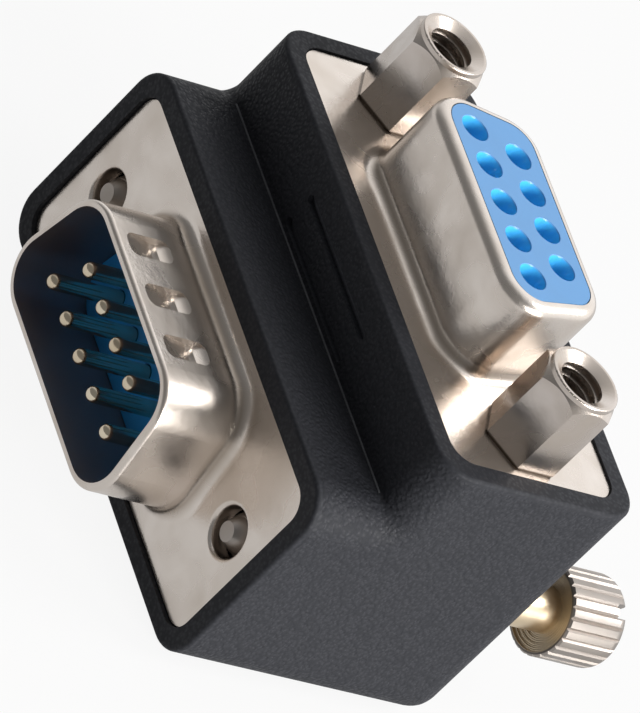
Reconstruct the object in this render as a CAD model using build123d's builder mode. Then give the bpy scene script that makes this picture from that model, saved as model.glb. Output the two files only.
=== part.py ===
import math
import os

from build123d import *

# Moulded housing, an L of two equal arms
housing_length = 33.6
arm = 15.2
male_axis_height = 7.45
male_reach = 12.5
female_reach = 12.6
corner_radius = 2.4
heel_radius = 1.8
rim_radius = 0.25
inner_corner_radius = 0.2

# Grip grooves in the wall between the two arms
groove_length = 10.6
groove_width = 0.55
groove_depth = 0.4
groove_heights = (0.65, 2.75)

# Metal shells of both connectors
male_recess = 0.3
female_recess = 0.15
flange_length = 30.8
flange_width = 12.4
flange_corner = 1.4
flange_clearance = 0.08
sheet = 0.5
base_radius = 0.9
lip_radius = 0.3
slant = 10.0
hole_spacing = 24.99
hole_radius = 1.525
entry_radius = 0.3
plunge_depth = 0.7

# Male shroud, sized inside, and female shroud, sized outside
male_shroud_length = 16.92
male_shroud_width = 8.36
male_shroud_height = 6.0
male_shroud_corner = 2.4
female_shroud_length = 16.33
female_shroud_width = 7.9
female_shroud_height = 6.1
female_shroud_corner = 2.5
shroud_wall = 0.45

# Pressed grounding dimples in the narrow side of the male shroud
dimple_count = 3
dimple_pitch = 3.75
dimple_width = 1.7
dimple_depth = 0.42
dimple_start = 5.2
dimple_deepest = 3.15
dimple_bend = 2.3
dimple_end = 1.95
dimple_corner = 0.6
dimple_bump_height = 0.22
dimple_margin = 0.2

# Rear cans of both connectors
can_length = 19.28
can_width = 10.72
can_corner = 2.6
can_depth = 4.6
can_wall = 0.4
part_line = 2.4

# Contacts
wide_row = 5
pitch = 2.77
row_spacing = 2.84
pin_radius = 0.51
pin_reach = 5.85
tip_roundness = 0.98
shoulder_radius = 0.85
shoulder_length = 0.8
cup_radius = 0.8
cup_bore = 0.5
cup_reach = 2.4
cup_opening = 1.6
socket_radius = 0.8
socket_bore = 0.56
socket_bore_depth = 5.0
socket_slot = 0.25
socket_slot_length = 2.6
socket_setback = 1.1
mouth_radius = 0.86
mouth_depth = 0.55
entry_bore = 0.62

# Insulators
male_floor = 0.5
insulator_gap = 0.05
can_gap = 0.05
tail_rise = 0.3

# Hexagonal standoffs and the nuts behind them
standoff_flats = 4.76
standoff_height = 5.93
standoff_foot = 0.15
crown_radius = 2.32
crown_height = 0.35
crown_round = 0.1
thread_radius = 1.42
tapped_radius = 1.13
tapped_depth = 5.0
countersink_radius = 2.1
countersink_depth = 0.35
lead_in_radius = 1.5
lead_in_depth = 0.25
stud_length = 3.9
nut_radius = 2.6
nut_length = 3.2
nut_gap = 0.06

# Captive thumbscrews, drawn back as far as they go
travel = 4.6
end_gap = 0.1
tip_radius = 0.62
tip_chamfer = 1.3
tip_rise = 0.05
bore_radius = 1.5
chamber_radius = 2.2
ring_radius = 2.1
ring_thickness = 0.5
ring_split = 1.5
neck_radius = 1.05
neck_clearance = 0.06
ring_shake = 0.05
knob_radius = 2.85
knob_length = 4.5
knob_round = 0.7
flute_count = 26
flute_radius = 0.26
flute_depth = 0.14
dish_radius = 2.58
dish_depth = 0.12
dish_step = 0.27
dish_steps = 3
dish_step_depth = 0.06
mouth_break = 0.12
slot_width = 0.85
slot_depth = 0.9
slot_angle = 26

# Places that follow from the sizes above
male_face_y = -(male_reach - male_recess)
female_face_z = male_axis_height + female_reach - female_recess
front_y = -male_reach
top_z = male_axis_height + female_reach
half_arm = arm / 2
arm_top = male_axis_height + half_arm
stack = 2 * sheet
screw_x = hole_spacing / 2
chamber_floor = stack + plunge_depth - sheet + end_gap + travel + ring_thickness + ring_shake
can_inside_length = can_length - 2 * can_wall
can_inside_width = can_width - 2 * can_wall
can_inside_corner = can_corner - can_wall
female_plug_length = female_shroud_length - 2 * (shroud_wall + insulator_gap)
female_plug_width = female_shroud_width - 2 * (shroud_wall + insulator_gap)
female_plug_corner = female_shroud_corner - shroud_wall - insulator_gap

# Mating planes: local x along the housing, local y towards the narrow row, local z outwards
male_face = Plane(origin=(0, male_face_y, male_axis_height), x_dir=(1, 0, 0), z_dir=(0, -1, 0))
female_face = Plane(origin=(0, 0, female_face_z), x_dir=(1, 0, 0), z_dir=(0, 0, 1))


def contact_places():
    """Local x and y of the nine contacts, wide row first."""
    wide = [((i - (wide_row - 1) / 2) * pitch, -row_spacing / 2) for i in range(wide_row)]
    narrow = [((i - (wide_row - 2) / 2) * pitch, row_spacing / 2) for i in range(wide_row - 1)]
    return wide + narrow


def d_outline(length, width, radius):
    """D-shaped sketch, its wide side towards local -y, its length measured over the corners."""
    tilt = math.radians(slant)
    over = radius * (math.tan(tilt) + 1 / math.cos(tilt) - 1)
    wide = length / 2 + over
    narrow = wide - width * math.tan(tilt)
    with BuildSketch() as outline:
        with BuildLine():
            Polyline(
                (-wide, -width / 2),
                (wide, -width / 2),
                (narrow, width / 2),
                (-narrow, width / 2),
                close=True,
            )
        make_face()
        fillet(outline.vertices(), radius)
    return outline.sketch


def d_block(face, bottom, top, length, width, radius, mode=Mode.ADD):
    """D-shaped block between two heights over a mating face."""
    with BuildSketch(face.offset(bottom)) as profile:
        add(d_outline(length, width, radius))
    extrude(profile.sketch, amount=top - bottom, mode=mode)


def round_block(face, places, bottom, top, radius, mode=Mode.ADD):
    """Round posts or holes between two heights over a mating face."""
    with BuildSketch(face.offset(bottom)) as profile:
        with Locations(*places):
            Circle(radius)
    extrude(profile.sketch, amount=top - bottom, mode=mode)


def edges_at(part, face, height, inside_length, inside_width):
    """Edges of a part that lie at one height over a mating face, within a rectangle."""
    found = []
    for edge in part.edges():
        local = face.to_local_coords(edge.center())
        box = face.to_local_coords(edge).bounding_box()
        flat = box.max.Z - box.min.Z < 1e-4 and abs(local.Z - height) < 1e-4
        if flat and abs(local.X) < inside_length / 2 and abs(local.Y) < inside_width / 2:
            found.append(edge)
    return found


def flange_plate(face, bottom, top):
    """Rounded flange between two heights over a mating face."""
    with BuildSketch(face.offset(bottom)) as profile:
        RectangleRounded(flange_length, flange_width, flange_corner)
    extrude(profile.sketch, amount=top - bottom)


def drawn_shell(face, height, length, width, corner):
    """Flange with a D-shaped shroud drawn out of it, sized outside, its foot and rim rounded."""
    with BuildPart() as shell:
        flange_plate(face, -sheet, 0)
        d_block(face, 0, height, length, width, corner)
        fillet(edges_at(shell.part, face, 0, length + 1, width + 1), base_radius)
        fillet(edges_at(shell.part, face, height, length + 1, width + 1), lip_radius)
        d_block(face, -sheet, height, length - 2 * shroud_wall, width - 2 * shroud_wall,
                corner - shroud_wall, mode=Mode.SUBTRACT)
    return shell.part


screw_places = [(-screw_x, 0), (screw_x, 0)]


# Housing
with BuildPart() as housing:
    with BuildSketch(Plane.YZ.offset(-housing_length / 2)):
        with BuildLine():
            Polyline(
                (front_y, 0),
                (half_arm, 0),
                (half_arm, top_z),
                (-half_arm, top_z),
                (-half_arm, arm_top),
                (front_y, arm_top),
                close=True,
            )
        make_face()
    extrude(amount=housing_length)
    heel = housing.edges().filter_by(Axis.X).sort_by_distance((0, half_arm, 0))[0]
    inner = housing.edges().filter_by(Axis.X).sort_by_distance((0, -half_arm, arm_top))[0]
    fillet(heel, heel_radius)
    fillet(inner, inner_corner_radius)
    ends = housing.edges().filter_by(Axis.Y) + housing.edges().filter_by(Axis.Z)
    corners = [e for e in ends if abs(abs(e.center().X) - housing_length / 2) < 1e-3
               and e.center().Y > front_y + 1e-3 and e.center().Z < top_z - 1e-3]
    fillet(corners, corner_radius)
    rims = housing.faces().filter_by(Axis.Y).sort_by(Axis.Y)[0].edges()
    rims += housing.faces().filter_by(Axis.Z).sort_by(Axis.Z)[-1].edges()
    fillet(rims, rim_radius)

    for face, recess in ((male_face, male_recess), (female_face, female_recess)):
        with BuildSketch(face.offset(-stack)):
            pocket_length = flange_length + 2 * flange_clearance
            pocket_width = flange_width + 2 * flange_clearance
            RectangleRounded(pocket_length, pocket_width, flange_corner + flange_clearance)
        extrude(amount=stack + recess, mode=Mode.SUBTRACT)
        clear = 2 * can_gap
        d_block(face, -can_depth, -stack, can_length + clear, can_width + clear,
                can_corner + can_gap, mode=Mode.SUBTRACT)
        d_block(face, -can_depth - tail_rise - can_gap, -can_depth, can_inside_length,
                can_inside_width, can_inside_corner, mode=Mode.SUBTRACT)
        round_block(face, contact_places(), -can_depth - tail_rise - cup_reach - can_gap,
                    -can_depth, cup_radius + insulator_gap, mode=Mode.SUBTRACT)

    round_block(male_face, screw_places, -chamber_floor, -stack, chamber_radius, mode=Mode.SUBTRACT)
    round_block(male_face, screw_places, -(male_reach + half_arm), -chamber_floor, bore_radius,
                mode=Mode.SUBTRACT)
    round_block(female_face, screw_places, -stack - nut_length - nut_gap, -stack,
                nut_radius + nut_gap, mode=Mode.SUBTRACT)

    for height in groove_heights:
        groove = Plane(origin=(0, -half_arm, arm_top + height), x_dir=(1, 0, 0), z_dir=(0, -1, 0))
        with BuildSketch(groove.offset(-groove_depth)):
            SlotOverall(groove_length, groove_width)
        extrude(amount=2 * groove_depth, mode=Mode.SUBTRACT)
housing.part.label = "housing"


# Cutter for one grounding dimple: a long ramp down from the rim, then a short round climb
shroud_top = male_shroud_width / 2 + shroud_wall
dimple_side = Plane(
    origin=(dimple_width / 2, male_face_y, male_axis_height), x_dir=(0, -1, 0), z_dir=(-1, 0, 0)
)
dimple_plan = Plane(
    origin=(0, male_face_y, male_axis_height + shroud_top), x_dir=(1, 0, 0), z_dir=(0, 0, 1)
)
with BuildPart() as dimple:
    with BuildSketch(dimple_side):
        with BuildLine():
            ramp = Line((dimple_start, shroud_top), (dimple_deepest, shroud_top - dimple_depth))
            climb = ThreePointArc(ramp @ 1, (dimple_bend, shroud_top - dimple_depth * 0.7),
                                  (dimple_end, shroud_top))
            Polyline(climb @ 1, (dimple_end, shroud_top + sheet), (dimple_start, shroud_top + sheet),
                     ramp @ 0)
        make_face()
    extrude(amount=dimple_width)
    with BuildSketch(dimple_plan.offset(-dimple_depth)):
        with Locations((0, -(dimple_start + dimple_end) / 2)):
            RectangleRounded(dimple_width, dimple_start - dimple_end, dimple_corner)
    extrude(amount=dimple_depth + sheet, mode=Mode.INTERSECT)

# Metal pushed through to the inside of the shroud under each dimple
with BuildPart() as dimple_bump:
    with BuildSketch(dimple_side.offset(-dimple_margin)):
        with BuildLine():
            inside = male_shroud_width / 2
            Polyline(
                (dimple_start + dimple_margin, inside + shroud_wall / 2),
                (dimple_start + dimple_margin, inside),
                (dimple_deepest, inside - dimple_bump_height),
                (dimple_bend, inside - dimple_bump_height),
                (dimple_end - dimple_margin, inside),
                (dimple_end - dimple_margin, inside + shroud_wall / 2),
                close=True,
            )
        make_face()
    extrude(amount=dimple_width + 2 * dimple_margin)

dimple_xs = [(i - (dimple_count - 1) / 2) * dimple_pitch for i in range(dimple_count)]


# Front shell of the male connector
with BuildPart() as male_front_shell:
    add(drawn_shell(male_face, male_shroud_height, male_shroud_length + 2 * shroud_wall,
                    male_shroud_width + 2 * shroud_wall, male_shroud_corner + shroud_wall))
    round_block(male_face, screw_places, -sheet - plunge_depth, -sheet, hole_radius + entry_radius)
    round_block(male_face, screw_places, -sheet - plunge_depth, 0, hole_radius,
                mode=Mode.SUBTRACT)
    mouths = [e for e in male_front_shell.edges().filter_by(GeomType.CIRCLE)
              if abs(e.center().Y - male_face_y) < 1e-4 and abs(e.radius - hole_radius) < 1e-3]
    fillet(mouths, entry_radius)
    with Locations(*[(x, 0, 0) for x in dimple_xs]):
        add(dimple_bump.part)
        add(dimple.part, mode=Mode.SUBTRACT)
male_front_shell.part.label = "male_front_shell"

# Front shell of the female connector
with BuildPart() as female_front_shell:
    add(drawn_shell(female_face, female_shroud_height, female_shroud_length,
                    female_shroud_width, female_shroud_corner))
    round_block(female_face, screw_places, -sheet, 0, hole_radius, mode=Mode.SUBTRACT)
female_front_shell.part.label = "female_front_shell"


def rear_shell(face, screw_hole, label):
    """Rear flange with the D-shaped can that holds the insulators."""
    with BuildPart() as shell:
        flange_plate(face, -stack, -sheet)
        d_block(face, -can_depth, -stack, can_length, can_width, can_corner)
        d_block(face, -can_depth, -sheet, can_inside_length, can_inside_width, can_inside_corner,
                mode=Mode.SUBTRACT)
        round_block(face, screw_places, -stack, -sheet, screw_hole, mode=Mode.SUBTRACT)
    shell.part.label = label
    return shell.part


male_rear_shell = rear_shell(male_face, hole_radius + entry_radius + insulator_gap, "male_rear_shell")
female_rear_shell = rear_shell(female_face, hole_radius, "female_rear_shell")


def insulator_lip(face):
    """Wider back of a front insulator, trapped behind the front shell."""
    d_block(face, -part_line, -sheet, can_inside_length - 2 * insulator_gap,
            can_inside_width - 2 * insulator_gap, can_inside_corner - insulator_gap)


# Front insulator of the male connector, the floor that the pins rise from
with BuildPart() as male_front_insulator:
    insulator_lip(male_face)
    d_block(male_face, -sheet, male_floor, male_shroud_length - 2 * insulator_gap,
            male_shroud_width - 2 * insulator_gap, male_shroud_corner - insulator_gap)
    round_block(male_face, contact_places(), -part_line, male_floor, pin_radius + insulator_gap,
                mode=Mode.SUBTRACT)
male_front_insulator.part.label = "male_front_insulator"

# Front insulator of the female connector, with a countersunk way in to each socket
with BuildPart() as female_front_insulator:
    plug_top = female_shroud_height
    insulator_lip(female_face)
    d_block(female_face, -sheet, plug_top, female_plug_length, female_plug_width,
            female_plug_corner)
    round_block(female_face, contact_places(), -part_line, plug_top - socket_setback,
                socket_radius + insulator_gap, mode=Mode.SUBTRACT)
    round_block(female_face, contact_places(), -part_line, plug_top, entry_bore,
                mode=Mode.SUBTRACT)
    entries = [e for e in female_front_insulator.edges().filter_by(GeomType.CIRCLE)
               if abs(e.center().Z - female_face_z - plug_top) < 1e-4
               and abs(e.radius - entry_bore) < 1e-3]
    chamfer(entries, mouth_depth, mouth_radius - entry_bore)
female_front_insulator.part.label = "female_front_insulator"


def rear_insulator(face, label):
    """Rear insulator, bored for the shoulders and the solder cups of the contacts."""
    with BuildPart() as block:
        d_block(face, -can_depth - tail_rise, -part_line, can_inside_length - 2 * insulator_gap,
                can_inside_width - 2 * insulator_gap, can_inside_corner - insulator_gap)
        round_block(face, contact_places(), -part_line - shoulder_length, -part_line,
                    shoulder_radius + insulator_gap, mode=Mode.SUBTRACT)
        round_block(face, contact_places(), -can_depth - tail_rise, -part_line,
                    cup_radius + insulator_gap, mode=Mode.SUBTRACT)
    block.part.label = label
    return block.part


male_rear_insulator = rear_insulator(male_face, "male_rear_insulator")
female_rear_insulator = rear_insulator(female_face, "female_rear_insulator")


def solder_end(face, place):
    """Shoulder and solder cup behind a contact, the cup cut open on its upper side."""
    back = -can_depth - tail_rise - cup_reach
    round_block(face, [place], -part_line - shoulder_length, -part_line, shoulder_radius)
    round_block(face, [place], back, -part_line - shoulder_length, cup_radius)
    round_block(face, [place], back, back + cup_reach, cup_bore, mode=Mode.SUBTRACT)
    with BuildSketch(face.offset(back)) as window:
        with Locations((place[0], place[1] + cup_radius)):
            Rectangle(2 * cup_radius, 2 * cup_radius - 2 * insulator_gap)
    extrude(window.sketch, amount=cup_opening, mode=Mode.SUBTRACT)


def male_pin(number, place):
    """Turned pin with a rounded tip."""
    with BuildPart() as pin:
        round_block(male_face, [place], -part_line, pin_reach, pin_radius)
        tip = pin.faces().sort_by(Axis.Y)[0].edges()
        fillet(tip, pin_radius * tip_roundness)
        solder_end(male_face, place)
    pin.part.label = f"male_pin_{number}"
    return pin.part


def female_socket(number, place):
    """Turned socket, bored and slotted into two tines."""
    with BuildPart() as socket:
        mouth = female_shroud_height - socket_setback - insulator_gap
        round_block(female_face, [place], -part_line, mouth, socket_radius)
        round_block(female_face, [place], mouth - socket_bore_depth, mouth, socket_bore,
                    mode=Mode.SUBTRACT)
        with BuildSketch(female_face.offset(mouth - socket_slot_length)) as slot:
            with Locations(place):
                Rectangle(3 * socket_radius, socket_slot)
        extrude(slot.sketch, amount=socket_slot_length, mode=Mode.SUBTRACT)
        solder_end(female_face, place)
    socket.part.label = f"female_socket_{number}"
    return socket.part


# Contact 1 is at the +x end of the male face and at the -x end of the female face
wide_places = contact_places()[:wide_row]
narrow_places = contact_places()[wide_row:]
male_order = wide_places[::-1] + narrow_places[::-1]
female_order = wide_places + narrow_places
male_pins = [male_pin(i + 1, place) for i, place in enumerate(male_order)]
female_sockets = [female_socket(i + 1, place) for i, place in enumerate(female_order)]


def hex_standoff(x, label):
    """Hexagonal standoff with a turned crown, a tapped mouth and a stud below the flange."""
    corner = standoff_flats / 2 / math.cos(math.radians(30))
    crown_foot = standoff_height - crown_height
    mouth_floor = standoff_height - countersink_depth
    bore_top = mouth_floor - lead_in_depth
    centre = Plane(origin=(x, 0, female_face_z), x_dir=(1, 0, 0), z_dir=(0, 0, 1))
    section = Plane(origin=centre.origin, x_dir=(1, 0, 0), z_dir=(0, -1, 0))
    axis = Axis(centre.origin, (0, 0, 1))
    with BuildPart() as standoff:
        with BuildSketch(centre):
            RegularPolygon(corner, 6, rotation=30)
        extrude(amount=standoff_height)
        with BuildSketch(section):
            Polygon(
                (0, 0),
                (corner - standoff_foot, 0),
                (corner, standoff_foot),
                (corner, crown_foot - (corner - crown_radius)),
                (crown_radius, crown_foot),
                (crown_radius, standoff_height),
                (0, standoff_height),
                align=None,
            )
        revolve(axis=axis, mode=Mode.INTERSECT)
        with BuildSketch(section):
            Polygon(
                (0, standoff_height),
                (countersink_radius, standoff_height),
                (lead_in_radius, mouth_floor),
                (tapped_radius, bore_top),
                (tapped_radius, standoff_height - tapped_depth),
                (0, standoff_height - tapped_depth),
                align=None,
            )
        revolve(axis=axis, mode=Mode.SUBTRACT)
        crown = standoff.faces().sort_by(Axis.Z)[-1].edges()
        fillet(crown, crown_round)
        round_block(female_face, [(x, 0)], -stud_length, 0, thread_radius)
    standoff.part.label = label
    return standoff.part


def standoff_nut(x, label):
    """Round threaded nut clinched behind the flanges."""
    with BuildPart() as nut:
        round_block(female_face, [(x, 0)], -stack - nut_length, -stack, nut_radius)
        round_block(female_face, [(x, 0)], -stack - nut_length, -stack, thread_radius + nut_gap,
                    mode=Mode.SUBTRACT)
    nut.part.label = label
    return nut.part


def retaining_ring(x, label):
    """Split ring in the neck of a thumbscrew, which stops it at both ends of its chamber."""
    with BuildPart() as ring:
        with BuildSketch(male_face.offset(-chamber_floor + ring_shake)):
            with Locations((x, 0)):
                Circle(ring_radius)
                Circle(neck_radius + neck_clearance, mode=Mode.SUBTRACT)
            with Locations((x, ring_radius)):
                Rectangle(ring_split, 2 * ring_radius, mode=Mode.SUBTRACT)
        extrude(amount=ring_thickness)
    ring.part.label = label
    return ring.part


def thumbscrew(x, label):
    """Captive thumbscrew with a fluted knob, dished in front and slotted behind."""
    tip = male_face_y - tip_rise
    groove_back = male_face_y + chamber_floor
    groove_front = groove_back - ring_thickness - 2 * ring_shake
    knob_front = half_arm + end_gap + travel
    knob_back = knob_front + knob_length
    dish_floor = knob_front + dish_depth + dish_steps * dish_step_depth
    dish = []
    for i in range(dish_steps):
        outer_radius = dish_radius - i * dish_step
        floor = knob_front + dish_depth + i * dish_step_depth
        dish = [(outer_radius - dish_step, floor), (outer_radius, floor)] + dish
    centre = Plane(origin=(x, 0, male_axis_height), x_dir=(1, 0, 0), z_dir=(0, 0, 1))
    axis = Axis(centre.origin, (0, 1, 0))
    knob_plane = Plane(origin=(x, knob_front, male_axis_height), x_dir=(1, 0, 0), z_dir=(0, 1, 0))
    with BuildPart() as screw:
        with BuildSketch(centre):
            Polygon(
                (0, tip),
                (tip_radius, tip),
                (thread_radius, tip + tip_chamfer),
                (thread_radius, groove_front),
                (neck_radius, groove_front),
                (neck_radius, groove_back),
                (thread_radius, groove_back),
                (thread_radius, dish_floor),
                (dish_radius - dish_steps * dish_step, dish_floor),
                *dish,
                (dish_radius, knob_front),
                (knob_radius - mouth_break, knob_front),
                (knob_radius, knob_front + mouth_break),
                (knob_radius, knob_back),
                (0, knob_back),
                align=None,
            )
        revolve(axis=axis)
        back_rim = [e for e in screw.edges().filter_by(GeomType.CIRCLE)
                    if abs(e.center().Y - knob_back) < 1e-4]
        fillet(back_rim, knob_round)
        with BuildSketch(knob_plane):
            with PolarLocations(knob_radius + flute_radius - flute_depth, flute_count):
                RegularPolygon(flute_radius, 4)
        extrude(amount=knob_length, mode=Mode.SUBTRACT)
        with BuildSketch(knob_plane.offset(knob_length - slot_depth)):
            Rectangle(slot_width, 3 * knob_radius, rotation=slot_angle)
        extrude(amount=slot_depth, mode=Mode.SUBTRACT)
    screw.part.label = label
    return screw.part


sides = (("left", -screw_x), ("right", screw_x))
standoffs = [hex_standoff(x, f"{side}_standoff") for side, x in sides]
nuts = [standoff_nut(x, f"{side}_standoff_nut") for side, x in sides]
rings = [retaining_ring(x, f"{side}_retaining_ring") for side, x in sides]
thumbscrews = [thumbscrew(x, f"{side}_thumbscrew") for side, x in sides]

pieces = [
    housing.part,
    male_front_shell.part,
    male_rear_shell,
    male_front_insulator.part,
    male_rear_insulator,
    female_front_shell.part,
    female_rear_shell,
    female_front_insulator.part,
    female_rear_insulator,
]
pieces += male_pins + female_sockets + standoffs + nuts + rings + thumbscrews

os.makedirs("parts", exist_ok=True)
for piece in pieces:
    export_step(piece, f"parts/{piece.label}.step")
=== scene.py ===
import math

import bmesh
import bpy
from mathutils import Matrix, Vector


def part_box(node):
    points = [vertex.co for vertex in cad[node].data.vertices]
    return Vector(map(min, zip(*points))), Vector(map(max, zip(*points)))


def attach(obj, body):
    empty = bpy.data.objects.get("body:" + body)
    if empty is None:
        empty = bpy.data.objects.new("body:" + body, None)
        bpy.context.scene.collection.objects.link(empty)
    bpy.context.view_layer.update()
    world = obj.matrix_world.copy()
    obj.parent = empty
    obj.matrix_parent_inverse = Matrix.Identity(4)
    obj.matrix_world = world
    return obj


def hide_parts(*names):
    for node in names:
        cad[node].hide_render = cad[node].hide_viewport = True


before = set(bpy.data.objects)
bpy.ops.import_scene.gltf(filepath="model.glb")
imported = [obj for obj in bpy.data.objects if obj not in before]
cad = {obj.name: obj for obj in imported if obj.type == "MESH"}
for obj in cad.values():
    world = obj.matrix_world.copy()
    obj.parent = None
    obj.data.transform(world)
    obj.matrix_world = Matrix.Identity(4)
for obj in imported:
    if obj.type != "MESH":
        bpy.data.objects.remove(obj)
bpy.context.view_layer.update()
MM = 0.001


# The picture's set. A long lens looks down on both connectors, with the part turned in the hand so that its
# long side runs from the upper left to the lower right. A soft lamp stands off the right end and a smaller one
# above the back. The backdrop is white, and the room behind the camera is dim, so the metal mirrors both.
picture_size = (640, 713)
focal_pixels = 8558.8
sensor = 36.0
camera_place = (0.279098, -0.321257, 0.266740)
picture_right = Vector((0.284969, 0.740032, 0.609218))
picture_down = Vector((0.774859, 0.196288, -0.600886))
into_picture = Vector((-0.564257, 0.643292, -0.517484))

camera = bpy.data.objects.new("camera", bpy.data.cameras.new("camera"))
bpy.context.scene.collection.objects.link(camera)
camera.data.sensor_width = sensor
camera.data.lens = focal_pixels / max(picture_size) * sensor
turned = Matrix((picture_right, -picture_down, -into_picture)).transposed()
camera.matrix_world = Matrix.Translation(camera_place) @ turned.to_4x4()
bpy.context.scene.camera = camera
bpy.context.scene.view_settings.view_transform = "Standard"


def put(tree, kind, feeds=None, **settings):
    """One node in a tree, with its settings, and with values or other nodes' sockets on its inputs."""
    made = tree.nodes.new(kind)
    for name, value in settings.items():
        setattr(made, name, value)
    for key, value in (feeds or {}).items():
        if isinstance(value, bpy.types.NodeSocket):
            tree.links.new(value, made.inputs[key])
        else:
            made.inputs[key].default_value = value
    return made


def maths(tree, operation, *values):
    """The outcome of one sum with numbers or other nodes' sockets."""
    return put(tree, "ShaderNodeMath", dict(enumerate(values)), operation=operation).outputs[0]


def ramp(tree, value, start, end, low=0.0, high=1.0, **settings):
    """A value led from one range into another and held at both ends."""
    return put(tree, "ShaderNodeMapRange", {0: value, 1: start, 2: end, 3: low, 4: high}, **settings).outputs[0]


def seen_directly(tree):
    """1 for the rays that show the backdrop: the camera's own, and those that metal and glass send on."""
    path = put(tree, "ShaderNodeLightPath").outputs
    either = maths(tree, "MAXIMUM", path["Is Camera Ray"], path["Is Glossy Ray"])
    return maths(tree, "MAXIMUM", either, path["Is Transmission Ray"])


def lamp(name, towards, distance, width, power, colour):
    """A square soft lamp that stands in the direction given and looks at the part."""
    light = bpy.data.lights.new(name, "AREA")
    light.size = width
    light.energy = power
    light.color = colour
    stand = bpy.data.objects.new(name, light)
    bpy.context.scene.collection.objects.link(stand)
    way = Vector(towards).normalized()
    stand.matrix_world = Matrix.Translation(way * distance) @ way.to_track_quat("Z", "Y").to_matrix().to_4x4()


lamp("key", (0.93, 0.27, 0.26), 0.8, 0.42, 9.6, (1.0, 0.985, 0.96))
lamp("back", (0.26, 0.62, 0.74), 0.7, 0.3, 2.2, (1.0, 0.98, 0.96))

backdrop_side = (-0.35, 0.86, 0.37)
room_mirrored = 0.2
backdrop_mirrored = 1.12
room_fill = 0.03
backdrop_fill = 0.55
world = bpy.data.worlds.new("studio")
world.use_nodes = True
bpy.context.scene.world = world
air = world.node_tree
ray = put(air, "ShaderNodeTexCoord").outputs["Generated"]
facing = put(air, "ShaderNodeVectorMath", {0: ray, 1: backdrop_side}, operation="DOT_PRODUCT").outputs["Value"]
mirrored = ramp(air, facing, -0.05, 0.85, room_mirrored, backdrop_mirrored, interpolation_type="SMOOTHSTEP")
fill = ramp(air, facing, -0.7, 0.6, room_fill, backdrop_fill, interpolation_type="SMOOTHSTEP")
level = put(air, "ShaderNodeMix", {0: seen_directly(air), 2: fill, 3: mirrored}).outputs["Result"]
shown = maths(air, "MAXIMUM", level, put(air, "ShaderNodeLightPath").outputs["Is Camera Ray"])
air.links.new(shown, air.nodes["Background"].inputs["Strength"])
air.nodes["Background"].inputs["Color"].default_value = (1.0, 1.0, 1.0, 1.0)

paper_grey = 0.62
floor_seen = 1.0
floor_mirrored = 0.66
glow_share = 0.9
bpy.ops.object.select_all(action="DESELECT")
bpy.ops.mesh.primitive_plane_add(size=6.0)
floor = bpy.context.object
floor.name = "floor"
floor_material = bpy.data.materials.new("floor")
floor_material.use_nodes = True
ground = floor_material.node_tree
paper = ground.nodes["Principled BSDF"]
paper.inputs["Base Color"].default_value = (paper_grey, paper_grey, paper_grey, 1.0)
paper.inputs["Roughness"].default_value = 0.9
camera_ray = put(ground, "ShaderNodeLightPath").outputs["Is Camera Ray"]
glow = put(ground, "ShaderNodeEmission", {"Color": (1.0, 1.0, 1.0, 1.0),
                                          "Strength": ramp(ground, camera_ray, 0.0, 1.0, floor_mirrored, floor_seen)})
share = maths(ground, "MULTIPLY", seen_directly(ground), glow_share)
blend = put(ground, "ShaderNodeMixShader", {0: share, 1: paper.outputs[0], 2: glow.outputs[0]})
ground.links.new(blend.outputs[0], ground.nodes["Material Output"].inputs["Surface"])
floor.data.materials.append(floor_material)


# The two insulators of each connector are moulded in filled nylon, blue and slightly glossy. The front ones
# show: a floor that the pins rise from, and a face that stands up in its shroud, with nine conical ways in.
def group(name, inputs, outputs):
    """An empty shader group with named inputs and outputs: (tree, its inputs, its output node)."""
    tree = bpy.data.node_groups.new(name, "ShaderNodeTree")
    for socket, kind, value in inputs:
        made = tree.interface.new_socket(name=socket, in_out="INPUT", socket_type=kind)
        if value is not None:
            made.default_value = value
    for socket, kind in outputs:
        tree.interface.new_socket(name=socket, in_out="OUTPUT", socket_type=kind)
    return tree, put(tree, "NodeGroupInput").outputs, put(tree, "NodeGroupOutput")


def material(name, **sockets):
    """A material with the constant values of its shader set: (material, its tree, its shader, object place)."""
    made = bpy.data.materials.new(name)
    made.use_nodes = True
    tree = made.node_tree
    shader = tree.nodes["Principled BSDF"]
    for key, value in sockets.items():
        shader.inputs[key.replace("_", " ")].default_value = value
    return made, tree, shader, put(tree, "ShaderNodeTexCoord").outputs["Object"]


def blended(tree, mask, *colours):
    """A colour between two, by a mask."""
    first, second = (c if isinstance(c, bpy.types.NodeSocket) else (*c, 1.0) for c in colours)
    return put(tree, "ShaderNodeMix", {0: mask, 6: first, 7: second}, data_type="RGBA").outputs[2]


def dress(tree, shader, colour, roughness, height, depth):
    """Gives a shader its colour and roughness, and a relief that is so many metres deep."""
    bump = put(tree, "ShaderNodeBump", {"Height": height, "Distance": depth, "Strength": 1.0})
    for socket, name in ((colour, "Base Color"), (roughness, "Roughness"), (bump.outputs["Normal"], "Normal")):
        tree.links.new(socket, shader.inputs[name])


def coat(names, made):
    """Puts a material in the slot of CAD nodes."""
    for name in names:
        cad[name].data.materials[0] = made


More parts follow.
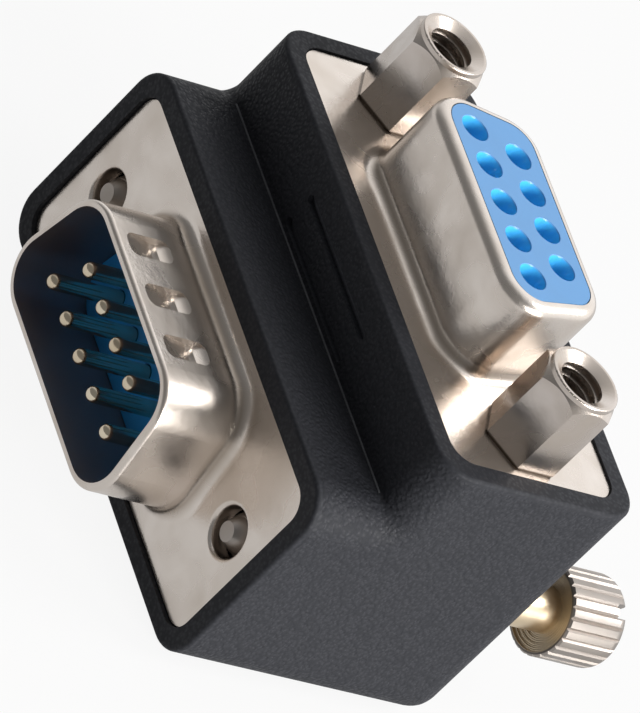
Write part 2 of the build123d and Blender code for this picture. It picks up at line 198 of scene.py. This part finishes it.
moulded, inlet, outlet = group(
    "moulded_surface",
    [("Place", "NodeSocketVector", None), ("Grain Scale", "NodeSocketFloat", 2500.0),
     ("Flow Scale", "NodeSocketFloat", 260.0), ("Smooth", "NodeSocketFloat", 0.25),
     ("Rough", "NodeSocketFloat", 0.4)],
    [("Height", "NodeSocketFloat"), ("Flow", "NodeSocketFloat"), ("Roughness", "NodeSocketFloat")],
)
grain = put(moulded, "ShaderNodeTexNoise", {"Vector": inlet["Place"], "Scale": inlet["Grain Scale"], "Detail": 3.0})
flow = put(moulded, "ShaderNodeTexNoise", {"Vector": inlet["Place"], "Scale": inlet["Flow Scale"], "Detail": 4.0,
                                           "Distortion": 1.2})
spread = ramp(moulded, flow.outputs["Fac"], 0.3, 0.7)
rough = ramp(moulded, flow.outputs["Fac"], 0.3, 0.7, inlet["Smooth"], inlet["Rough"])
for socket, name in ((grain.outputs["Fac"], "Height"), (spread, "Flow"), (rough, "Roughness")):
    moulded.links.new(socket, outlet.inputs[name])


def moulded_material(name, dark, light, depth, grain_scale, smooth, rough, flow_scale=260.0, **sockets):
    """A moulded plastic with faint flow marks, a fine grain and uneven gloss."""
    made, tree, shader, place = material(name, **sockets)
    surface = put(tree, "ShaderNodeGroup", {"Place": place, "Grain Scale": grain_scale, "Flow Scale": flow_scale,
                                            "Smooth": smooth, "Rough": rough}, node_tree=moulded).outputs
    dress(tree, shader, blended(tree, surface["Flow"], dark, light), surface["Roughness"], surface["Height"], depth)
    return made


weld = 2e-6
soft_angle = math.radians(28)


def activate(piece):
    """Makes one object the only selected and active one."""
    bpy.ops.object.select_all(action="DESELECT")
    piece.select_set(True)
    bpy.context.view_layer.objects.active = piece


def worked_copy(node, name):
    """A copy of a CAD node's mesh with its loose triangles merged, to be cut into."""
    piece = cad[node].copy()
    piece.data = cad[node].data.copy()
    piece.name = name
    bpy.context.scene.collection.objects.link(piece)
    activate(piece)
    bpy.ops.mesh.customdata_custom_splitnormals_clear()
    bpy.ops.object.mode_set(mode="EDIT")
    bpy.ops.mesh.select_all(action="SELECT")
    bpy.ops.mesh.remove_doubles(threshold=weld)
    bpy.ops.mesh.normals_make_consistent(inside=False)
    bpy.ops.object.mode_set(mode="OBJECT")
    return piece


def choose(piece, kind, wanted):
    """In edit mode, selects only the edges or faces that a test picks."""
    bpy.ops.mesh.select_mode(type="EDGE" if kind == "edges" else "FACE")
    bpy.ops.mesh.select_all(action="DESELECT")
    work = bmesh.from_edit_mesh(piece.data)
    for item in getattr(work, kind):
        if wanted(item):
            item.select_set(True)
    work.select_flush_mode()
    bmesh.update_edit_mesh(piece.data)


def middle(edge):
    """The middle of an edge."""
    return (edge.verts[0].co + edge.verts[1].co) / 2


def cut_off_above(height):
    """In edit mode, takes away all that lies above a height."""
    bpy.ops.mesh.select_all(action="SELECT")
    bpy.ops.mesh.bisect(plane_co=(0, 0, height), plane_no=(0, 0, 1), clear_outer=True)


def face_up():
    """In edit mode, fills the chosen loop with a face that looks up."""
    bpy.ops.mesh.edge_face_add()
    work = bmesh.from_edit_mesh(bpy.context.object.data)
    if [face for face in work.faces if face.select][0].normal.z < 0:
        bpy.ops.mesh.flip_normals()


def all_outwards():
    """In edit mode, turns every face of a closed mesh outwards."""
    bpy.ops.mesh.select_all(action="SELECT")
    bpy.ops.mesh.normals_make_consistent(inside=False)


def subtract(piece, cutter):
    """Cuts one solid out of another and throws the cutter away."""
    activate(piece)
    cut = piece.modifiers.new("cut", "BOOLEAN")
    cut.operation = "DIFFERENCE"
    cut.solver = "EXACT"
    cut.object = cutter
    bpy.ops.object.modifier_apply(modifier=cut.name)
    bpy.data.objects.remove(cutter)
    activate(piece)
    bpy.ops.object.shade_smooth_by_angle(angle=soft_angle)


def stand_in(piece, made, body, node):
    """Gives a piece its material, puts it on its body and hides the CAD node it stands in for."""
    piece.data.materials.clear()
    piece.data.materials.append(made)
    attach(piece, body)
    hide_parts(node)


pitch = 2.77 * MM
row_gap = 2.84 * MM
socket_top = 26.0 * MM
way_in_places = [((i - 2) * pitch, -row_gap / 2) for i in range(5)]
way_in_places += [((i - 1.5) * pitch, row_gap / 2) for i in range(4)]
way_in_mouth = 0.96 * MM
way_in_bore = 0.6 * MM
way_in_depth = 1.05 * MM
way_in_reach = 0.8 * MM
bore_depth = 1.0 * MM
shoulder = 1.0 * MM
shoulder_inset = 0.36 * MM


def off_the_ways_in(edge):
    """Whether an edge is clear of all nine ways in."""
    at = middle(edge)
    return min(math.hypot(at.x - x, at.y - y) for x, y in way_in_places) > way_in_reach


def way_in_cutter():
    """Nine cones, each with a straight bore below it, joined into one solid."""
    over = 0.1 * MM
    mouth = way_in_mouth + over * (way_in_mouth - way_in_bore) / way_in_depth
    cones = []
    for x, y in way_in_places:
        bpy.ops.object.select_all(action="DESELECT")
        bpy.ops.mesh.primitive_cone_add(vertices=48, radius1=way_in_bore, radius2=mouth, depth=way_in_depth + over,
                                        location=(x, y, socket_top + (over - way_in_depth) / 2))
        cone = bpy.context.object
        bpy.ops.object.mode_set(mode="EDIT")
        choose(cone, "faces", lambda face: face.normal.z < -0.9)
        bpy.ops.mesh.extrude_region_move(TRANSFORM_OT_translate={"value": (0, 0, -bore_depth)})
        bpy.ops.object.mode_set(mode="OBJECT")
        cones.append(cone)
    for cone in cones:
        cone.select_set(True)
    bpy.ops.object.join()
    return bpy.context.object


socket_face = worked_copy("female_front_insulator", "socket_face")
bpy.ops.object.mode_set(mode="EDIT")
cut_off_above(socket_top - shoulder)
choose(socket_face, "edges", lambda edge: edge.is_boundary and off_the_ways_in(edge))
face_up()
bpy.ops.mesh.inset(thickness=shoulder_inset, depth=shoulder)
choose(socket_face, "edges", lambda edge: edge.is_boundary)
bpy.ops.mesh.fill_holes(sides=0)
all_outwards()
bpy.ops.object.mode_set(mode="OBJECT")
subtract(socket_face, way_in_cutter())

face_blue = ((0.135, 0.355, 0.70), (0.15, 0.38, 0.74))
# Inside the cones the blue is lighter and stronger than the face's: painted light in the ways in.
cone_painted_light_blue = (0.075, 0.52, 0.97)
cone_gloss = 0.13
socket_blue, tree, shader, place = material("socket_blue", IOR=1.48)
surface = put(tree, "ShaderNodeGroup", {"Place": place, "Grain Scale": 2600.0, "Smooth": 0.28, "Rough": 0.42},
              node_tree=moulded).outputs
height = put(tree, "ShaderNodeSeparateXYZ", {0: place}).outputs["Z"]
# Below the face, the cones take the painted light blue and a glossier finish.
inside = ramp(tree, height, socket_top - 0.02 * MM, socket_top - 0.12 * MM)
tone = blended(tree, inside, blended(tree, surface["Flow"], *face_blue), cone_painted_light_blue)
gloss = ramp(tree, inside, 0.0, 1.0, surface["Roughness"], cone_gloss)
dress(tree, shader, tone, gloss, surface["Height"], 4e-6)
stand_in(socket_face, socket_blue, "adapter", "female_front_insulator")

pin_blue = moulded_material("pin_blue", (0.012, 0.30, 0.80), (0.018, 0.34, 0.88), 4e-6, 2600.0, 0.3, 0.45, IOR=1.45)
coat(["male_front_insulator", "male_rear_insulator", "female_rear_insulator"], pin_blue)


# Nine pins and nine sockets, turned from brass rod and thinly gilded. The pins have round tips, the sockets are
# bored and slotted, and each ends in a solder cup behind. They are pressed into the insulators.
plated, inlet, outlet = group(
    "plated_surface",
    [("Place", "NodeSocketVector", None), ("Grain Scale", "NodeSocketFloat", 4000.0),
     ("Stain Scale", "NodeSocketFloat", 350.0), ("Smooth", "NodeSocketFloat", 0.15),
     ("Rough", "NodeSocketFloat", 0.3)],
    [("Height", "NodeSocketFloat"), ("Stain", "NodeSocketFloat"), ("Roughness", "NodeSocketFloat")],
)
grain = put(plated, "ShaderNodeTexNoise", {"Vector": inlet["Place"], "Scale": inlet["Grain Scale"], "Detail": 2.0})
stain = put(plated, "ShaderNodeTexNoise", {"Vector": inlet["Place"], "Scale": inlet["Stain Scale"], "Detail": 2.5,
                                           "Roughness": 0.5, "Distortion": 0.3})
spread = ramp(plated, stain.outputs["Fac"], 0.35, 0.7)
rough = ramp(plated, stain.outputs["Fac"], 0.35, 0.7, inlet["Smooth"], inlet["Rough"])
for socket, name in ((grain.outputs["Fac"], "Height"), (spread, "Stain"), (rough, "Roughness")):
    plated.links.new(socket, outlet.inputs[name])


def metal(name, clean, stained, grain_scale, smooth, rough, stain_scale=350.0):
    """A plated metal: (material, tree, shader, place, its two-tone colour, and its surface's outputs)."""
    made, tree, shader, place = material(name, Metallic=1.0)
    surface = put(tree, "ShaderNodeGroup", {"Place": place, "Grain Scale": grain_scale, "Stain Scale": stain_scale,
                                            "Smooth": smooth, "Rough": rough}, node_tree=plated).outputs
    return made, tree, shader, place, blended(tree, surface["Stain"], clean, stained), surface


gilded, tree, shader, place, clear, surface = metal("gilded", (0.80, 0.71, 0.56), (0.68, 0.56, 0.40), 9000.0,
                                                    0.14, 0.26)
dress(tree, shader, clear, surface["Roughness"], surface["Height"], 1e-6)
coat([f"male_pin_{i}" for i in range(1, 10)] + [f"female_socket_{i}" for i in range(1, 10)], gilded)


# The shells are drawn from thin steel sheet and nickelled. The front ones carry the D-shaped shrouds, and the
# rear ones hold the insulators. The socket's shroud turns in round its face with a full round rim.
lip = 0.8 * MM
lip_steps = 8
rim_weld = 0.05 * MM


def faces_outwards(edge):
    """Whether an open edge borders a wall that looks away from the connector's middle."""
    at = middle(edge)
    return edge.is_boundary and edge.link_faces[0].normal.dot(Vector((at.x, at.y, 0))) > 0


socket_shell = worked_copy("female_front_shell", "socket_shell")
bpy.ops.object.mode_set(mode="EDIT")
cut_off_above(socket_top - lip)
choose(socket_shell, "edges", faces_outwards)
bpy.ops.mesh.remove_doubles(threshold=rim_weld)
choose(socket_shell, "edges", faces_outwards)
face_up()
for i in range(lip_steps):
    low, high = (math.radians(90 * j / lip_steps) for j in (i, i + 1))
    bpy.ops.mesh.inset(thickness=lip * (math.cos(low) - math.cos(high)),
                       depth=lip * (math.sin(high) - math.sin(low)), use_even_offset=False)
bpy.ops.mesh.delete(type="ONLY_FACE")
choose(socket_shell, "edges", lambda edge: edge.is_boundary)
bpy.ops.mesh.bridge_edge_loops()
all_outwards()
bpy.ops.object.mode_set(mode="OBJECT")
bpy.ops.object.shade_smooth_by_angle(angle=soft_angle)

pin_flange = -12.2 * MM
socket_flange = 19.9 * MM
screw_axis = 7.45 * MM
inner_wall_reach = 4.2 * MM
# A brown painted shade lies along the foot of each shroud, where it meets its flange.
foot_painted_shade = (0.36, 0.295, 0.235)
# The inner walls of the pin shroud are painted darker and warmer: painted shade inside the shroud.
inner_painted_shade = (0.42, 0.34, 0.32)
inner_roughness = 0.48
nickel, tree, shader, place, clear, surface = metal("nickel", (0.79, 0.725, 0.67), (0.68, 0.61, 0.545), 5600.0, 0.22,
                                                    0.34, stain_scale=300.0)
spot = put(tree, "ShaderNodeSeparateXYZ", {0: place}).outputs
over_pins = maths(tree, "SUBTRACT", pin_flange, spot["Y"])
over_sockets = maths(tree, "SUBTRACT", spot["Z"], socket_flange)
over = maths(tree, "MAXIMUM", over_pins, over_sockets)
# The band of painted shade runs from just above each flange to about a millimetre up the shroud.
rising = ramp(tree, over, 0.03 * MM, 0.4 * MM)
falling = ramp(tree, over, 0.35 * MM, 1.1 * MM, 0.85, 0.0)
foot = maths(tree, "MULTIPLY", rising, falling)
# The walls of the pin shroud that look in towards the pins take the painted shade and a rougher finish.
rise = maths(tree, "SUBTRACT", spot["Z"], screw_axis)
off_axis = put(tree, "ShaderNodeCombineXYZ", {"X": spot["X"], "Z": rise}).outputs[0]
normal = put(tree, "ShaderNodeNewGeometry").outputs["Normal"]
outwards = put(tree, "ShaderNodeVectorMath", {0: off_axis, 1: normal}, operation="DOT_PRODUCT").outputs["Value"]
turned_in = ramp(tree, outwards, -1.0 * MM, -3.0 * MM)
within = maths(tree, "LESS_THAN", maths(tree, "ABSOLUTE", rise), inner_wall_reach)
ahead = ramp(tree, over_pins, 0.3 * MM, 0.5 * MM)
inner = maths(tree, "MULTIPLY", maths(tree, "MULTIPLY", turned_in, within), ahead)
tone = blended(tree, inner, blended(tree, foot, clear, foot_painted_shade), inner_painted_shade)
gloss = ramp(tree, inner, 0.0, 1.0, surface["Roughness"], inner_roughness)
waves = put(tree, "ShaderNodeTexNoise", {"Vector": place, "Scale": 1100.0, "Detail": 1.5}).outputs["Fac"]
dress(tree, shader, tone, gloss, maths(tree, "MULTIPLY_ADD", waves, 2.2, surface["Height"]), 6.5e-6)
coat(["male_front_shell", "male_rear_shell", "female_rear_shell"], nickel)
stand_in(socket_shell, nickel, "adapter", "female_front_shell")


# The housing is moulded over everything in black PVC, with a leather grain on its sides and smooth rims. A fine
# line of flash stands in the inner corner, where the mould's parts met; its lighter colour is a painted highlight
# along the corner. Two grooves run along the wall.
leather, inlet, outlet = group(
    "leather_grain",
    [("Place", "NodeSocketVector", None), ("Scale", "NodeSocketFloat", 4200.0)],
    [("Height", "NodeSocketFloat"), ("Hollow", "NodeSocketFloat")],
)
wander = put(leather, "ShaderNodeTexNoise", {"Vector": inlet["Place"], "Scale": 1900.0, "Detail": 2.0})
push = put(leather, "ShaderNodeVectorMath", {0: wander.outputs["Color"], 1: (2.6e-4, 2.6e-4, 2.6e-4)},
           operation="MULTIPLY")
moved = put(leather, "ShaderNodeVectorMath", {0: inlet["Place"], 1: push.outputs[0]}, operation="ADD")
cells = put(leather, "ShaderNodeTexVoronoi", {"Vector": moved.outputs[0], "Scale": inlet["Scale"],
                                              "Smoothness": 0.6}, feature="SMOOTH_F1").outputs["Distance"]
fine = put(leather, "ShaderNodeTexNoise", {"Vector": inlet["Place"], "Scale": 9000.0, "Detail": 2.0})
leather.links.new(maths(leather, "MULTIPLY_ADD", fine.outputs["Fac"], 0.3, cells), outlet.inputs["Height"])
leather.links.new(ramp(leather, cells, 0.15, 0.6), outlet.inputs["Hollow"])

rim_edge = 0.3 * MM
rim_grain = 0.12
inner_wall = -7.6 * MM
arm_top = 15.05 * MM
groove_low = arm_top + 0.3 * MM
groove_high = arm_top + 3.1 * MM
groove_end = 5.4 * MM
groove_floor = inner_wall + 0.6 * MM
black_hide = ((0.031, 0.0322, 0.0385), (0.0215, 0.0228, 0.0275))
# Inside the two grooves the black is painted lighter: painted light where the grooves' own shade falls.
groove_painted_light = (0.06, 0.063, 0.074)
black, tree, shader, place = material("black_pvc", IOR=1.45, Specular_IOR_Level=0.2)
hide = put(tree, "ShaderNodeGroup", {"Place": place, "Scale": 4200.0}, node_tree=leather).outputs
spot = put(tree, "ShaderNodeSeparateXYZ", {0: place}).outputs
front = ramp(tree, spot["Y"], pin_flange + rim_edge, pin_flange + rim_edge / 3)
top = ramp(tree, spot["Z"], socket_flange - rim_edge, socket_flange - rim_edge / 3)
kept = ramp(tree, maths(tree, "MAXIMUM", front, top), 0.0, 1.0, 1.0, rim_grain)
# The painted light covers the grooves' insides, deeper than the wall, between their ends.
groove = ramp(tree, spot["Y"], inner_wall + 0.02 * MM, inner_wall + 0.05 * MM)
for limit in (maths(tree, "GREATER_THAN", spot["Z"], groove_low),
              maths(tree, "LESS_THAN", spot["Z"], groove_high),
              maths(tree, "LESS_THAN", maths(tree, "ABSOLUTE", spot["X"]), groove_end),
              maths(tree, "LESS_THAN", spot["Y"], groove_floor)):
    groove = maths(tree, "MULTIPLY", groove, limit)
tone = blended(tree, groove, blended(tree, hide["Hollow"], *black_hide), groove_painted_light)
gloss = ramp(tree, hide["Hollow"], 0.0, 1.0, 0.44, 0.62)
dress(tree, shader, tone, gloss, maths(tree, "MULTIPLY", hide["Height"], kept), 6e-5)
coat(["housing"], black)

seam_radius = 0.055 * MM
seam_length = 28.8 * MM
seam_unevenness = 0.014 * MM
bpy.ops.object.select_all(action="DESELECT")
bpy.ops.mesh.primitive_cylinder_add(vertices=12, radius=seam_radius, depth=seam_length,
                                    location=(0.0, inner_wall - seam_radius, arm_top + seam_radius),
                                    rotation=(0.0, math.radians(90), 0.0))
seam = bpy.context.object
seam.name = "moulding_seam"
bpy.ops.object.transform_apply(location=True, rotation=True, scale=True)
bpy.ops.object.mode_set(mode="EDIT")
choose(seam, "edges", lambda edge: abs((edge.verts[0].co - edge.verts[1].co).x) > MM)
bpy.ops.mesh.subdivide(number_cuts=60)
choose(seam, "faces", lambda face: abs(face.normal.x) > 0.9)
bpy.ops.mesh.inset(thickness=seam_radius / 3, depth=seam_radius / 2, use_individual=True)
bpy.ops.mesh.select_all(action="SELECT")
bpy.ops.transform.vertex_random(offset=seam_unevenness, seed=3)
bpy.ops.object.mode_set(mode="OBJECT")
bpy.ops.object.shade_smooth_by_angle(angle=math.radians(50))
# The flash is coloured several times lighter than the housing's black: a painted highlight along the inner corner.
seam.data.materials.append(moulded_material("pvc_flash_painted_highlight", (0.07, 0.073, 0.082), (0.12, 0.124, 0.136), 4e-6, 3000.0,
                                            0.35, 0.6, flow_scale=900.0, IOR=1.45))
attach(seam, "adapter")


# Two hexagonal standoffs, turned and tapped from nickelled steel bar and screwed down through the flange of the
# socket connector into nuts behind it. Their mouths are countersunk, and a 4-40 thread shows in each.
thread_pitch = 0.635 * MM
thread_flat = 0.08 * MM
thread_slope = math.tan(math.radians(30))
screw_spacing = 24.99 * MM
sides = (("left", -screw_spacing / 2), ("right", screw_spacing / 2))
tapped_bore = 1.44 * MM
tapped_depth = 4.6 * MM
tapped_from = 4.75 * MM
# A dark painted shade rings the foot of each standoff, where it stands on the socket's flange.
seat_painted_shade = (0.09, 0.07, 0.055)


def cut_thread(piece, foot, axis, start, turns, narrow, wide):
    """Cuts a thread's groove, narrow at one radius and wide at the other, along an axis named Y or Z."""
    half = thread_flat / 2
    opening = half + abs(wide - narrow) * thread_slope
    along = Vector((0, axis == "Y", axis == "Z"))
    corners = ((narrow, -half), (narrow, half), (wide, opening), (wide, -opening))
    bpy.ops.object.select_all(action="DESELECT")
    bpy.ops.mesh.primitive_circle_add(vertices=4, radius=MM, fill_type="NOTHING")
    cutter = bpy.context.object
    for vertex, (radius, shift) in zip(cutter.data.vertices, corners):
        vertex.co = Vector((radius, 0, 0)) + along * (start + shift)
    turn = cutter.modifiers.new("turn", "SCREW")
    turn.axis = axis
    turn.screw_offset = thread_pitch
    turn.iterations = turns
    turn.steps = 40
    turn.use_merge_vertices = True
    bpy.ops.object.modifier_apply(modifier=turn.name)
    bpy.ops.object.mode_set(mode="EDIT")
    bpy.ops.mesh.select_all(action="SELECT")
    bpy.ops.mesh.fill_holes(sides=0)
    all_outwards()
    bpy.ops.transform.translate(value=foot)
    bpy.ops.object.mode_set(mode="OBJECT")
    subtract(piece, cutter)


turned_nickel, tree, shader, place, clear, surface = metal("turned_nickel", (0.66, 0.60, 0.555), (0.53, 0.465, 0.405),
                                                           5200.0, 0.2, 0.34)
rise = put(tree, "ShaderNodeSeparateXYZ", {0: place}).outputs["Z"]
# The painted shade covers the parts from just below the socket's flange to 0.12 to 0.24 millimetres above it.
above = ramp(tree, rise, socket_flange + 0.12 * MM, socket_flange + 0.24 * MM, 1.0, 0.0)
seat = maths(tree, "GREATER_THAN", rise, socket_flange - 0.1 * MM)
tone = blended(tree, maths(tree, "MULTIPLY", above, seat), clear, seat_painted_shade)
dress(tree, shader, tone, surface["Roughness"], surface["Height"], 3e-6)
for side, x in sides:
    standoff_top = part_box(f"{side}_standoff")[1][2]
    tapped = worked_copy(f"{side}_standoff", f"{side}_standoff_tapped")
    bpy.ops.object.select_all(action="DESELECT")
    bpy.ops.mesh.primitive_cylinder_add(vertices=64, radius=tapped_bore, depth=tapped_depth,
                                        location=(x, 0.0, standoff_top - tapped_depth / 2))
    subtract(tapped, bpy.context.object)
    cut_thread(tapped, (x, 0.0, 0.0), "Z", standoff_top - tapped_from, 7, 1.74 * MM, 1.41 * MM)
    coat([f"{side}_standoff_nut"], turned_nickel)
    stand_in(tapped, turned_nickel, "adapter", f"{side}_standoff")


# Two captive thumbscrews behind the pin connector, turned from brass and nickelled, each kept in by a split ring
# in its neck. A fluted, slotted knob stands out behind, dished in front, and a 4-40 thread leads at the tip.
knob_front = 12.3 * MM
dish_radius = 2.58 * MM
dish_floor = knob_front + 0.35 * MM
ring_gap = 0.11 * MM
thread_from = -12.6 * MM
bare_brass = (0.80, 0.66, 0.47)
fluted_nickel, tree, shader, place, clear, surface = metal("fluted_nickel", (0.40, 0.365, 0.34), (0.34, 0.305, 0.275),
                                                           5200.0, 0.3, 0.46)
spot = put(tree, "ShaderNodeSeparateXYZ", {0: place}).outputs
off_x = maths(tree, "SUBTRACT", maths(tree, "ABSOLUTE", spot["X"]), screw_spacing / 2)
off_z = maths(tree, "SUBTRACT", spot["Z"], screw_axis)
off_axis = put(tree, "ShaderNodeCombineXYZ", {"X": off_x, "Z": off_z}).outputs[0]
radius = put(tree, "ShaderNodeVectorMath", {0: off_axis}, operation="LENGTH").outputs["Value"]
within = ramp(tree, radius, dish_radius + 0.04 * MM, dish_radius)
before = ramp(tree, spot["Y"], dish_floor + 0.05 * MM, dish_floor)
behind = ramp(tree, spot["Y"], 6.0 * MM, 7.5 * MM)
bare = maths(tree, "MULTIPLY", maths(tree, "MULTIPLY", within, before), behind)
rings = maths(tree, "SINE", maths(tree, "MULTIPLY", radius, 2 * math.pi / ring_gap))
height = maths(tree, "MULTIPLY_ADD", maths(tree, "MULTIPLY", rings, bare), 1.5, surface["Height"])
dress(tree, shader, blended(tree, bare, clear, bare_brass), surface["Roughness"], height, 3e-6)
for side, x in sides:
    screw = worked_copy(f"{side}_thumbscrew", f"{side}_thumbscrew_threaded")
    cut_thread(screw, (x, 0.0, screw_axis), "Y", thread_from, 9, 1.05 * MM, 1.46 * MM)
    coat([f"{side}_retaining_ring"], turned_nickel)
    stand_in(screw, fluted_nickel, f"{side}_screw", f"{side}_thumbscrew")
